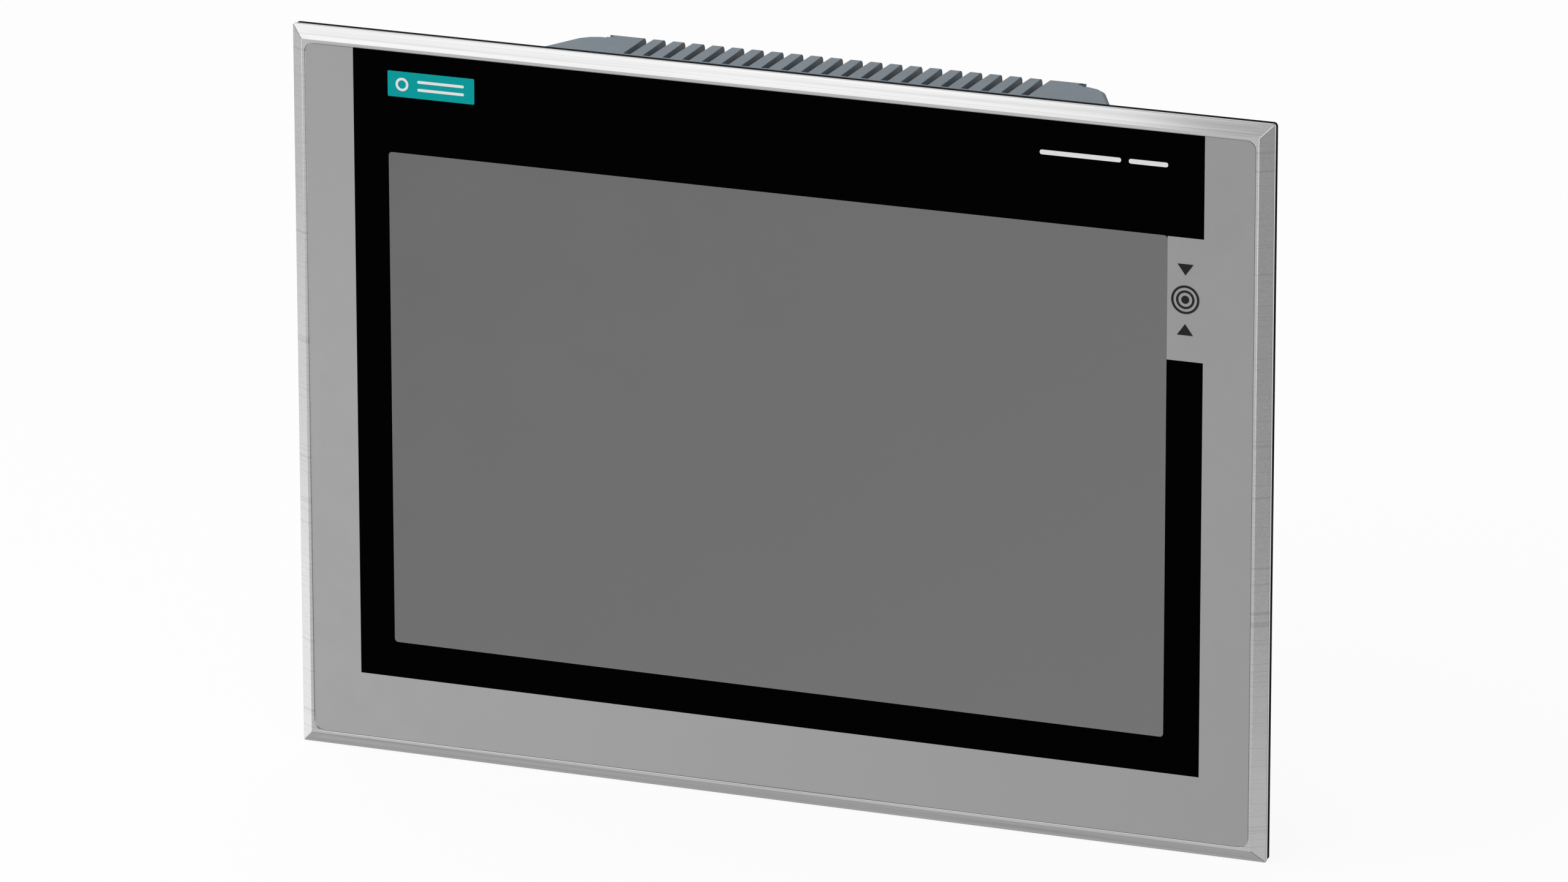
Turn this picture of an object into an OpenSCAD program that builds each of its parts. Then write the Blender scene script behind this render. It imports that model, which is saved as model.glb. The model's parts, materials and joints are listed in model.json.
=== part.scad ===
// Panel-mount operator terminal: a 12-inch wide touch display in an aluminium front,
// with a tray and a finned cover behind the cabinet panel.
// X runs to the right as seen from the front, Y runs back into the cabinet, Z is up.
// The origin is the middle of the seat, the plane where the gasket meets the cabinet panel.

/* [Front] */
// Width of the front
front_w = 330; // [326:1:336]
// Height of the front
front_h = 241; // [238:1:246]
// Distance from the seat to the front rim
front_depth = 6; // [5.8:0.1:7]
// How far the sloped border reaches in from the outer edge
slope_in = 4.1; // [3.8:0.1:4.2]
// How far the sloped border falls back from the rim
slope_back = 2.8; // [2:0.1:3.2]
// Width of the flat rim inside the slope
rim_w = 0.9; // [0.8:0.05:1.2]
// Radius of the front's four outer corners
corner_r = 0.7; // [0.5:0.1:1.5]
// Thickness of the gasket
gasket_t = 2; // [1.5:0.1:2.2]

/* [Display] */
// Width of the picture area
view_w = 262.5; // [255:0.5:265]
// Height of the picture area
view_h = 164.2; // [158:0.2:166]
// Width of the black printed field
mask_w = 286.4; // [280:0.2:290]
// Distance from the middle down to the lower edge of the black field
mask_low = 94; // [90:0.5:100]

/* [Housing] */
// Width of the rear tray, which passes through the cut-out
tray_w = 308; // [304:0.5:309]
// Height of the rear tray
tray_h = 218.4; // [216:0.2:219.4]
// Depth of the rear tray behind the seat
tray_d = 26; // [24:0.5:26]
// Wall thickness of the tray
tray_wall = 2; // [1.5:0.1:2.5]
// Depth of the rear cover behind the seat
cover_d = 59.8; // [58:0.1:61]
// Half of the width of the rear cover
cover_x = 97.5; // [97:0.1:98]
// Half of the width of the cover's raised middle
core_x = 81.1; // [80:0.1:83]
// Radius of the cover's round shoulders
shoulder_r = 10.5; // [9:0.5:11]
// Wall thickness of the cover
cover_wall = 2.5; // [2:0.1:3]
// Height of the wall that carries the sockets, below the middle
socket_z = 72; // [70:0.5:76]

/* [Cooling] */
// Number of cooling slots
slot_count = 21; // [15:2:21]
// Width of one cooling slot where it begins
slot_w = 2.5; // [2:0.1:3]
// Width of one cooling slot at the back of the cover
slot_back_w = 3.4; // [3:0.1:3.6]
// Distance between neighbouring slots
slot_pitch = 6.76; // [6.5:0.01:6.8]
// Depth behind the seat at which the slots begin
slot_y = 38.7; // [38:0.1:42]
// Height at which the slots end
slot_z = 15; // [5:1:40]

/* [Hidden] */

$fn = 48;
tiny = 0.01;
past = 1;                       // how far a cutting solid runs past the surface it opens

// front
rim_y = -front_depth;
foil_floor_y = rim_y + 0.5;     // floor of the recess that the foil lies in
foil_t = 0.25;
foil_front_y = foil_floor_y - foil_t;
recess_w = front_w - 2 * (slope_in + rim_w);
recess_h = front_h - 2 * (slope_in + rim_w);
foil_gap = 0.3;                 // groove between the foil and the rim
foil_w = recess_w - 2 * foil_gap;
foil_h = recess_h - 2 * foil_gap;
foil_r = 3;
print_t = 0.12;                 // thickness of a raised print
view_r = 1.2;
glass_w = 281.6;
glass_h = 185.6;
glass_t = 1.8;
glass_back_y = foil_floor_y + glass_t;
lip_w = 269;                    // window in the bezel behind the glass
lip_h = 171;
gasket_y = -gasket_t;           // back of the aluminium, front of the gasket

// the foil's side tab, which reaches in to the picture area
tab_low = 42;
tab_high = 82;

// badge and header marks
badge_w = 29.8;
badge_h = 8.4;
badge_x = -view_w / 2 + badge_w / 2;
badge_z = 104.8;

// display stack
lcd_front_y = -1.2;
lcd_t = 2;
sheet_t = 0.8;
guide_t = 2.6;
pan_sheet = 0.8;
lcd_w = 275;
lcd_h = 176;
pan_w = lcd_w + 2 * pan_sheet + 0.4;
pan_h = lcd_h + 2 * pan_sheet + 0.4;
sheets_y = lcd_front_y + lcd_t;
guide_y = sheets_y + sheet_t;
pan_floor_y = guide_y + guide_t;
pan_back_y = pan_floor_y + pan_sheet;

// carrier and main board
carrier_y = 5.4;
carrier_t = 1.2;
carrier_w = 300;
carrier_h = 204;
carrier_back_y = carrier_y + carrier_t;
board_y = 27;
board_t = 1.6;
board_back_y = board_y + board_t;
board_x = 90;
board_low = -67;
board_high = 62;

// fasteners
screw_r = 1.5;
screw_hole_r = 1.6;
head_r = 2.8;
head_h = 2.2;
post_spots = [
    [-146, -100], [146, -100], [-146, 100], [146, 100],
    [-146, 0], [146, 0], [-60, -100], [60, -100]
];
carrier_spots = [[-146, -52], [146, -52], [-146, 52], [146, 52], [0, -97], [0, 97]];
board_spots = [[-84, -45], [84, -65], [-84, 56], [84, 56], [-30, -20], [30, 8]];
ear_z = [-66, 48, 98];
ear_x = 101.5;
ear_t = 2.5;

// rear housing
top_z = tray_h / 2;
tray_r = 5;
edge_r = 2.2;
core_r = 1.5;                   // radius of the raised middle's upright corners
shoulder_y = cover_d - 3.5;
lean = 26;                      // angle of the shoulders' sloping sides
lean_x = 98.9;                  // where their faces would be at depth lean_y
lean_y = 34;
lean_n = [cos(lean), sin(lean)];
lean_reach = lean_n * [lean_x, lean_y] - shoulder_r;
bend = [cover_x - shoulder_r,
        (lean_reach - lean_n[0] * (cover_x - shoulder_r)) / lean_n[1]];
seam = 0.02;                    // how far the shoulders' arcs stand proud of the flats they join
turn = [(lean_reach - lean_n[1] * (shoulder_y - shoulder_r)) / lean_n[0],
        shoulder_y - shoulder_r];
fin_wall = 3;                   // wall between the slots and the inside
base_y = slot_y - fin_wall;
slot_span = (slot_count - 1) * slot_pitch / 2;
block_in_x = slot_span + slot_w / 2 + cover_wall;
lower_top = slot_z - cover_wall;
opening_x = 92;
label_w = 96;
label_h = 54;
label_z = -24;
label_sink = 0.3;

// sockets on the underside of the cover
socket_face = -socket_z - 0.2;
fit_gap = 0.2;
network_x = [-46, -28.5];
network_w = 16.2;
network_h = 13.4;
network_l = 21;
audio_x = -13;
audio_y = board_back_y + 4;
audio_r = 1.8;
audio_l = 14;
usb_x = [2, 18];
usb_w = 13.1;
usb_h = 5.7;
usb_l = 14;
mini_x = 32;
mini_w = 7.7;
mini_h = 3.9;
mini_l = 9;
serial_x = 58;
serial_y = board_back_y + 8;
serial_pitch = 25;              // distance between the two screwlocks
flange_t = 0.8;
power_x = -70;
power_w = 14;
power_h = 11;
power_l = 14;

// card readers on the right side of the cover
reader_z = [2, -48];
reader_w = 28;
reader_x0 = 62;
reader_h = 3;
card_gap = 2.2;
card_w = 24.4;
ejector_travel = 4;
lock_travel = 8;
lock_x = cover_x + 0.3;
lock_t = 1.6;

// bonding stud
stud_x = -122;
stud_z = -88;
stud_r = 2;
stud_end = 42;
washer_t = 0.8;
nut_t = 3.2;
nut_hole_r = 2.08;

// A flat piece across the front, from depth y0 to depth y1; its children are drawn in X and Z
module across(y0, y1) {
    translate([0, y1, 0])
        rotate([90, 0, 0])
            linear_extrude(y1 - y0)
                children();
}

// A piece with its outline drawn in Y and Z, from x0 to x1
module along_x(x0, x1) {
    translate([x0, 0, 0])
        rotate([90, 0, 90])
            linear_extrude(x1 - x0)
                children();
}

// A piece with its outline drawn in X and Y, from z0 to z1
module upright(z0, z1) {
    translate([0, 0, z0])
        linear_extrude(z1 - z0)
            children();
}

module rounded(w, h, r) {
    square([w - 2 * r, h], center = true);
    square([w, h - 2 * r], center = true);
    for (sx = [-1, 1], sy = [-1, 1])
        translate([sx * (w / 2 - r), sy * (h / 2 - r)])
            circle(r);
}

// A box given by its lowest and highest corners
module span(low, high) {
    translate(low)
        cube(high - low);
}

// Cylinder along Y
module rod_y(r, y0, y1) {
    translate([0, y0, 0])
        rotate([-90, 0, 0])
            cylinder(r = r, h = y1 - y0);
}

// Hexagon bar along Y, with its width across flats
module hex_y(across_flats, y0, y1) {
    translate([0, y0, 0])
        rotate([-90, 30, 0])
            cylinder(r = across_flats / sqrt(3), h = y1 - y0, $fn = 6);
}

module at(spots) {
    for (s = spots)
        translate([s[0], 0, s[1]])
            children();
}

// Cross-head screw along Y: its head sits on depth seat, its shank reaches forward
module screw(seat, shank) {
    difference() {
        union() {
            rod_y(head_r, seat, seat + head_h);
            rod_y(screw_r, seat - shank, seat + tiny);
        }
        for (turn = [0, 90])
            rotate([0, turn, 0])
                span([-1.7, seat + head_h - 1.3, -0.35], [1.7, seat + head_h + past, 0.35]);
    }
}

// ---------- front ----------

function slope_outline(half) = [
    [-half, gasket_y],
    [half, gasket_y],
    [half, rim_y + slope_back],
    [half - slope_in, rim_y],
    [-half + slope_in, rim_y],
    [-half, rim_y + slope_back]
];

module front_bezel() {
    color("#d9dcde")
        difference() {
            intersection() {
                upright(-front_h / 2, front_h / 2)
                    polygon(slope_outline(front_w / 2));
                along_x(-front_w / 2, front_w / 2)
                    polygon([for (p = slope_outline(front_h / 2)) [p[1], p[0]]]);
                across(rim_y - past, gasket_y + past)
                    rounded(front_w, front_h, corner_r);
            }
            across(rim_y - past, foil_floor_y)
                rounded(recess_w, recess_h, foil_r + foil_gap);
            across(foil_floor_y - past, glass_back_y)
                square([glass_w + 2 * fit_gap, glass_h + 2 * fit_gap], center = true);
            across(glass_back_y - past, gasket_y + past)
                square([lip_w, lip_h], center = true);
            // passage for the touch sensor's tail
            span([138.4, glass_back_y - past, 51], [140.2, gasket_y + past, 69]);
        }
}

module panel_gasket() {
    color("#161616")
        across(gasket_y, 0)
            difference() {
                rounded(front_w, front_h, corner_r + 0.6);
                rounded(tray_w + 0.6, tray_h + 0.6, tray_r + 0.3);
            }
}

module mask_area() {
    difference() {
        translate([-mask_w / 2, -mask_low])
            square([mask_w, mask_low + foil_h / 2]);
        translate([view_w / 2, tab_low])
            square([mask_w / 2 - view_w / 2 + past, tab_high - tab_low]);
    }
}

module decor_foil() {
    color("#a3a5a7")
        across(foil_front_y, foil_floor_y)
            difference() {
                rounded(foil_w, foil_h, foil_r);
                mask_area();
                rounded(view_w, view_h, view_r);
            }
}

module black_mask() {
    color("#0b0b0c")
        across(foil_front_y, foil_floor_y)
            difference() {
                mask_area();
                rounded(view_w, view_h, view_r);
            }
}

module touch_film() {
    color("#707274")
        across(foil_front_y, foil_floor_y)
            rounded(view_w, view_h, view_r);
}

module corner_badge() {
    color("#00a19b")
        across(foil_front_y - print_t, foil_front_y)
            translate([badge_x, badge_z])
                rounded(badge_w, badge_h, 0.4);
}

// A plain ring and two bars on the badge
module badge_mark() {
    color("white")
        across(foil_front_y - 2 * print_t, foil_front_y - print_t)
            translate([badge_x, badge_z]) {
                translate([-badge_w / 2 + 5, 0])
                    difference() {
                        circle(2.2);
                        circle(1.4);
                    }
                for (side = [-1, 1])
                    translate([3.4, side * 1.3])
                        rounded(16, 0.9, 0.4);
            }
}

// Two plain bars at the right end of the header
module header_bars() {
    color("white")
        across(foil_front_y - print_t, foil_front_y)
            for (bar = [[102.4, 26.8], [124.8, 12.9]])
                translate([bar[0], badge_z])
                    rounded(bar[1], 1.5, 0.7);
}

// Rings around a fingertip, with an arrow above and below
module touch_symbol() {
    tab_x = (view_w + mask_w) / 4;
    tab_z = (tab_low + tab_high) / 2;
    color("#141414")
        across(foil_front_y - print_t, foil_front_y)
            translate([tab_x, tab_z]) {
                circle(1.3);
                for (ring = [2.3, 3.9])
                    difference() {
                        circle(ring + 0.7);
                        circle(ring);
                    }
                for (side = [-1, 1])
                    translate([0, side * 11.5])
                        polygon([[-2.6, 0], [2.6, 0], [0, -side * 3.6]]);
            }
}

module touch_glass() {
    color("#b9c6c6")
        across(foil_floor_y, glass_back_y)
            square([glass_w, glass_h], center = true);
}

module touch_tail() {
    color("#b5762a") {
        span([139.1, glass_back_y, 53], [139.4, 8.7, 67]);
        span([128, 8.4, 53], [139.1, 8.7, 67]);
    }
}

module touch_board() {
    color("#1d5a34")
        difference() {
            translate([113, 0, 60])
                across(carrier_back_y, carrier_back_y + 1.8)
                    rounded(34, 26, 1);
            at([[99, 50], [99, 70]])
                rod_y(1.2, carrier_y, carrier_back_y + 4);
        }
}

// ---------- display ----------

module dust_foam() {
    color("#2b2b2b")
        across(gasket_y, lcd_front_y)
            difference() {
                square([274, 175], center = true);
                square([266, 168], center = true);
            }
}

module lcd_cell() {
    color("#22262a")
        across(lcd_front_y, sheets_y)
            square([lcd_w, lcd_h], center = true);
}

module diffuser_sheets() {
    color("#f3f4f0")
        across(sheets_y, guide_y)
            square([lcd_w - 3, lcd_h - 3], center = true);
}

module light_guide() {
    color("#e2eef0")
        across(guide_y, pan_floor_y)
            translate([0, 1.5])
                square([lcd_w - 4, lcd_h - 7], center = true);
}

// A strip board with one row of lamps, below the light guide
module led_bar() {
    lamp_count = 20;
    strip_low = -lcd_h / 2 + 0.6;
    color("#f4e9a8") {
        span([-132, guide_y, strip_low], [132, pan_floor_y, strip_low + 1]);
        for (i = [0 : lamp_count - 1]) {
            lamp_x = (i - (lamp_count - 1) / 2) * 13;
            span([lamp_x - 2, guide_y + 0.4, strip_low + 1],
                 [lamp_x + 2, pan_floor_y - 0.4, strip_low + 2]);
        }
    }
}

module lcd_pan() {
    color("#c3c6c8")
        difference() {
            across(lcd_front_y + 0.1, pan_back_y)
                square([pan_w, pan_h], center = true);
            across(lcd_front_y - past, pan_floor_y)
                square([lcd_w + 0.4, lcd_h + 0.4], center = true);
            // way out for the display cable
            span([-21, pan_floor_y - tiny, -53], [21, pan_back_y + past, -51]);
        }
}

module lcd_cable() {
    color("#d7a24a") {
        span([-20, pan_floor_y, -52.2], [20, board_y - 2.4, -51.9]);
        span([-22, board_y - 2.4, -54], [22, board_y, -50]);
    }
}

module display_carrier() {
    color("#b9bdc0")
        difference() {
            across(carrier_y, carrier_back_y)
                rounded(carrier_w, carrier_h, 3);
            at(carrier_spots)
                rod_y(screw_hole_r, carrier_y - past, carrier_back_y + past);
            at(post_spots)
                rod_y(4.2, carrier_y - past, carrier_back_y + past);
            span([-24, carrier_y - past, -56], [24, carrier_back_y + past, -48]);
            span([138, carrier_y - past, 51], [140.6, carrier_back_y + past, 69]);
        }
}

module carrier_standoffs() {
    color("#c9b071")
        at(carrier_spots)
            difference() {
                hex_y(5.5, gasket_y, carrier_y);
                rod_y(screw_hole_r, gasket_y + 1.5, carrier_y + past);
            }
}

module carrier_screws() {
    color("#d5d5d0")
        at(carrier_spots)
            screw(carrier_back_y, 6);
}

// ---------- main board ----------

module main_board() {
    color("#14503a")
        difference() {
            across(board_y, board_back_y)
                translate([-board_x, board_low])
                    square([2 * board_x, board_high - board_low]);
            at(board_spots)
                rod_y(screw_hole_r, board_y - past, board_back_y + past);
        }
}

module board_standoffs() {
    color("#c9b071")
        at(board_spots)
            difference() {
                hex_y(5.5, carrier_back_y, board_y);
                rod_y(screw_hole_r, board_y - 8, board_y + past);
            }
}

module board_screws() {
    color("#d5d5d0")
        at(board_spots)
            screw(board_back_y, 6);
}

chip_z = 38;
pad_y = board_back_y + 2;
spreader_y = pad_y + 0.8;

module processor() {
    color("#33363a")
        span([-11.5, board_back_y, chip_z - 11.5], [11.5, pad_y, chip_z + 11.5]);
}

module thermal_pad() {
    color("#c7a7b0")
        span([-11.5, pad_y, chip_z - 11.5], [11.5, spreader_y, chip_z + 11.5]);
}

module heat_spreader() {
    color("#aeb3b7")
        span([-34, spreader_y, chip_z - 18], [34, base_y, chip_z + 18]);
}

module memory_chips() {
    color("#26282b")
        at([[-46, 46], [-46, 30], [46, 46], [46, 30]])
            span([-6, board_back_y, -4.5], [6, board_back_y + 1.2, 4.5]);
}

module power_coils() {
    color("#5a5d60")
        at([[-74, -18], [-74, -2], [-58, -18]])
            union() {
                span([-6, board_back_y, -6], [6, board_back_y + 5, 6]);
                rod_y(4.6, board_back_y + 4, board_back_y + 6);
            }
}

module capacitors() {
    color("#8f9aa3")
        at([[-42, -14], [-42, -26], [-8, -18], [-8, -30], [8, -18]])
            union() {
                rod_y(4, board_back_y + 1, board_back_y + 10.5);
                span([-4.2, board_back_y, -4.2], [4.2, board_back_y + 1, 4.2]);
            }
}

cell_x = -66;
cell_z = 20;
cell_seat_y = board_back_y + 1.4;

module cell_holder() {
    color("#1e1e20")
        translate([cell_x, 0, cell_z])
            difference() {
                rod_y(11.6, board_back_y, board_back_y + 3.4);
                rod_y(10.1, cell_seat_y, board_back_y + 4);
            }
}

module coin_cell() {
    color("#d8dadb")
        translate([cell_x, 0, cell_z])
            rod_y(10, cell_seat_y, cell_seat_y + 3.2);
}

// ---------- sockets ----------

module network_shells() {
    color("#c8cccf")
        for (x = network_x)
            difference() {
                span([x - network_w / 2, board_back_y, socket_face],
                     [x + network_w / 2, board_back_y + network_h, socket_face + network_l]);
                span([x - network_w / 2 + 0.4, board_back_y + 0.4, socket_face - past],
                     [x + network_w / 2 - 0.4, board_back_y + network_h - 0.4,
                      socket_face + network_l - 0.4]);
            }
}

// The plug's cavity, with the stepped way for its latch
module network_inserts() {
    body_y = board_back_y + 0.4;
    body_top_y = body_y + network_h - 0.8;
    color("#1b1c1e")
        for (x = network_x)
            difference() {
                span([x - network_w / 2 + 0.4, body_y, socket_face + 0.3],
                     [x + network_w / 2 - 0.4, body_top_y, socket_face + network_l - 0.4]);
                span([x - 5.95, body_y + 1.6, socket_face - past],
                     [x + 5.95, body_y + 8.4, socket_face + 12.5]);
                span([x - 3.2, body_y + 8.3, socket_face - past],
                     [x + 3.2, body_y + 10.2, socket_face + 12.5]);
                span([x - 2, body_y + 10.1, socket_face - past],
                     [x + 2, body_y + 11.4, socket_face + 12.5]);
            }
}

// Eight sprung wires in each network socket
module network_contacts() {
    wire = 0.35;
    color("#d9b24c")
        for (x = network_x, i = [0 : 7])
            translate([x + (i - 3.5) * 1.02, board_back_y + 2, socket_face + 3])
                rotate([-7, 0, 0])
                    translate([-wire / 2, 0, 0])
                        cube([wire, wire, 9.2]);
}

module usb_shells() {
    color("#c8cccf")
        for (x = usb_x)
            difference() {
                span([x - usb_w / 2, board_back_y, socket_face],
                     [x + usb_w / 2, board_back_y + usb_h, socket_face + usb_l]);
                span([x - usb_w / 2 + 0.3, board_back_y + 0.3, socket_face - past],
                     [x + usb_w / 2 - 0.3, board_back_y + usb_h - 0.3, socket_face + usb_l - 0.3]);
            }
}

module usb_tongues() {
    color("#1c1c1e")
        for (x = usb_x) {
            span([x - 5.6, board_back_y + 3.0, socket_face + 1],
                 [x + 5.6, board_back_y + 4.8, socket_face + 11]);
            span([x - usb_w / 2 + 0.3, board_back_y + 0.3, socket_face + 11],
                 [x + usb_w / 2 - 0.3, board_back_y + usb_h - 0.3, socket_face + usb_l - 0.3]);
        }
}

module mini_usb_port() {
    color("#bfc3c6") {
        difference() {
            span([mini_x - mini_w / 2, board_back_y, socket_face],
                 [mini_x + mini_w / 2, board_back_y + mini_h, socket_face + mini_l]);
            span([mini_x - mini_w / 2 + 0.3, board_back_y + 0.3, socket_face - past],
                 [mini_x + mini_w / 2 - 0.3, board_back_y + mini_h - 0.3, socket_face + 8]);
        }
        span([mini_x - 2.4, board_back_y + 1.5, socket_face + 1.2],
             [mini_x + 2.4, board_back_y + 2.4, socket_face + 8 + tiny]);
    }
}

// The slanted outline of a nine-pole connector, half as wide as half_w at its wide side
module dee(half_w, half_h) {
    lean = half_h * tan(10);
    polygon([
        [-half_w - lean, half_h], [half_w + lean, half_h],
        [half_w - lean, -half_h], [-half_w + lean, -half_h]
    ]);
}

module serial_shell() {
    flange_z = -socket_z - flange_t;
    color("#c5c9cc")
        translate([serial_x, serial_y, 0])
            difference() {
                union() {
                    upright(flange_z, -socket_z)
                        rounded(30.8, 12.5, 1.2);
                    upright(flange_z - 5.8, flange_z + tiny)
                        dee(7.9, 4.1);
                }
                upright(flange_z - 5.8 - past, -socket_z + past)
                    dee(7.5, 3.7);
                for (side = [-1, 1])
                    translate([side * serial_pitch / 2, 0, flange_z - past])
                        cylinder(r = 1.65, h = flange_t + 2 * past);
            }
}

module serial_insert() {
    color("#17181a")
        translate([serial_x, serial_y, 0])
            difference() {
                upright(-socket_z - flange_t - 5.6, -socket_z + 8)
                    dee(7.4, 3.6);
                for (row = [[5, 1.42], [4, -1.42]], i = [0 : row[0] - 1])
                    translate([(i - (row[0] - 1) / 2) * 2.77, row[1],
                               -socket_z - flange_t - 5.6 - past])
                        cylinder(r = 0.55, h = 6 + past, $fn = 24);
            }
}

// Hexagon standoffs that take the plug's two screws
module serial_screwlocks() {
    flange_z = -socket_z - flange_t;
    color("#d0d2d0")
        for (side = [-1, 1])
            translate([serial_x + side * serial_pitch / 2, serial_y, 0])
                difference() {
                    union() {
                        translate([0, 0, flange_z - 5])
                            cylinder(r = 4.8 / sqrt(3), h = 5, $fn = 6);
                        translate([0, 0, flange_z - tiny])
                            cylinder(r = 1.5, h = 6);
                    }
                    translate([0, 0, flange_z - 5 - past])
                        cylinder(r = 1.25, h = 5 + past);
                }
}

module audio_jack() {
    color("#202123")
        translate([audio_x, audio_y, 0])
            difference() {
                union() {
                    upright(-socket_z + 2.7, -socket_z + audio_l + 1.5)
                        square([8, 7.8], center = true);
                    translate([0, 0, socket_face])
                        cylinder(r = 3, h = 3.5);
                }
                translate([0, 0, socket_face - past])
                    cylinder(r = audio_r, h = audio_l + past);
            }
}

module power_header() {
    power_y = board_back_y + 1;
    color("#2f6b3f")
        difference() {
            span([power_x - power_w / 2, board_back_y, socket_face],
                 [power_x + power_w / 2, power_y + power_h, socket_face + power_l]);
            span([power_x - 5.5, power_y + 1.4, socket_face - past],
                 [power_x + 5.5, power_y + power_h - 1.4, socket_face + power_l - 2]);
        }
}

module power_pins() {
    pin_y = board_back_y + 1 + power_h / 2;
    color("#d3d5d0")
        for (side = [-1, 1])
            translate([power_x + side * 2.54, pin_y, socket_face + 5])
                translate([-0.6, -0.6, 0])
                    cube([1.2, 1.2, power_l - 7]);
}

// ---------- card readers ----------

module card_readers() {
    color("#bfc4c7")
        for (z = reader_z)
            difference() {
                span([reader_x0, board_back_y, z - reader_w / 2],
                     [board_x, board_back_y + reader_h, z + reader_w / 2]);
                span([reader_x0 + 1.5, board_back_y + 0.5, z - card_w / 2],
                     [board_x + past, board_back_y + 0.5 + card_gap, z + card_w / 2]);
            }
}

// The sprung slide that the card's end pushes in
module ejector(z) {
    color("#e3e3de")
        span([reader_x0 + 1.6 + ejector_travel, board_back_y + 0.6, z - card_w / 2 + 0.1],
             [reader_x0 + 4.6 + ejector_travel, board_back_y + 0.4 + card_gap,
              z + card_w / 2 - 0.1]);
}

module card_ejector_upper() {
    ejector(reader_z[0]);
}

module card_ejector_lower() {
    ejector(reader_z[1]);
}

lock_foot = 24;
lock_feet = [reader_z[0] + card_w / 2 + 1.2, reader_z[1] + card_w / 2 + 1.2];
rivet_y = board_back_y + 1.8;
rivet_up = 6.5;

// Slides down over the mouths of both readers, on two rivets
module card_lock() {
    color("#3a3d40")
        difference() {
            union() {
                for (foot = lock_feet)
                    span([lock_x, 27.2, foot], [lock_x + lock_t, 33.6, foot + lock_foot]);
                span([lock_x, 32.2, lock_feet[1] + lock_foot - tiny],
                     [lock_x + lock_t, 33.6, lock_feet[0] + tiny]);
                for (i = [0 : 3])
                    translate([0, 0, lock_feet[0] + 17.8 + i * 1.6])
                        span([lock_x + lock_t - tiny, 27.8, 0], [lock_x + lock_t + 0.7, 33, 0.7]);
            }
            for (foot = lock_feet)
                along_x(lock_x - past, lock_x + lock_t + past)
                    translate([rivet_y, foot + rivet_up + lock_travel / 2])
                        square([3.3, lock_travel + 3.3], center = true);
        }
}

module lock_rivets() {
    color("#b8bcbe")
        for (foot = lock_feet)
            translate([cover_x - cover_wall - 1, rivet_y, foot + rivet_up])
                rotate([0, 90, 0]) {
                    cylinder(r = 1.5, h = cover_wall + 1 + 0.3 + lock_t + 0.2);
                    translate([0, 0, cover_wall + 1 + 0.3 + lock_t + 0.1])
                        cylinder(r = 2.6, h = 0.8);
                }
}

// ---------- rear housing ----------

// Outline of a box seen from the side, with its two rear edges rounded
module rear_rounded(y0, y1, half, r) {
    translate([y0, -half])
        square([y1 - y0 - r, 2 * half]);
    translate([y0, -half + r])
        square([y1 - y0, 2 * half - 2 * r]);
    for (side = [-1, 1])
        translate([y1 - r, side * (half - r)])
            circle(r);
}

clip_slot_x = [-122, 0, 122];
clip_slot_z = [-62, 62];
clip_slot_w = 14;
clip_slot_y = [9, 13];

module clip_slots() {
    for (x = clip_slot_x)
        span([x - clip_slot_w / 2, clip_slot_y[0], -tray_h],
             [x + clip_slot_w / 2, clip_slot_y[1], tray_h]);
    for (z = clip_slot_z)
        span([-tray_w, clip_slot_y[0], z - clip_slot_w / 2],
             [tray_w, clip_slot_y[1], z + clip_slot_w / 2]);
}

module rear_tray() {
    inside_w = tray_w - 2 * tray_wall;
    inside_h = tray_h - 2 * tray_wall;
    color("#8b939a")
        difference() {
            intersection() {
                across(gasket_y, tray_d)
                    rounded(tray_w, tray_h, tray_r);
                upright(-tray_h / 2, tray_h / 2)
                    rotate(90)
                        rear_rounded(gasket_y, tray_d, tray_w / 2, edge_r);
                along_x(-tray_w / 2, tray_w / 2)
                    rear_rounded(gasket_y, tray_d, tray_h / 2, edge_r);
            }
            across(gasket_y - past, tray_d - tray_wall)
                rounded(inside_w, inside_h, tray_r - tray_wall);
            across(tray_d - tray_wall - past, tray_d + past)
                translate([-opening_x, -socket_z + 3])
                    square([2 * opening_x, socket_z - 3 + top_z - 4]);
            intersection() {
                clip_slots();
                difference() {
                    span([-tray_w, 0, -tray_h], [tray_w, tray_d, tray_h]);
                    span([-inside_w / 2 + 2, 0, -inside_h / 2 + 2],
                         [inside_w / 2 - 2, tray_d, inside_h / 2 - 2]);
                }
            }
            at(post_spots)
                rod_y(screw_hole_r, tray_d - tray_wall - past, tray_d + past);
            for (side = [-1, 1], z = ear_z)
                translate([side * ear_x, 0, z])
                    rod_y(screw_hole_r, tray_d - tray_wall - past, tray_d + past);
            translate([stud_x, 0, stud_z])
                rod_y(stud_r + 0.05, tray_d - tray_wall - past, tray_d + past);
        }
}

module bezel_posts() {
    color("#c9b071")
        at(post_spots)
            difference() {
                hex_y(6, gasket_y, tray_d - tray_wall);
                rod_y(screw_hole_r, tray_d - 12, tray_d);
            }
}

module tray_screws() {
    color("#d5d5d0")
        at(post_spots)
            screw(tray_d, 9);
}

// Plan outline of the cover's raised middle
module core_plan(inset) {
    half = core_x - inset;
    back = cover_d - inset;
    translate([-half, tray_d - past])
        square([2 * half, back - core_r - tray_d + past]);
    translate([-half + core_r, tray_d - past])
        square([2 * (half - core_r), back - tray_d + past]);
    for (side = [-1, 1])
        translate([side * (half - core_r), back - core_r])
            circle(core_r);
}

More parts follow.
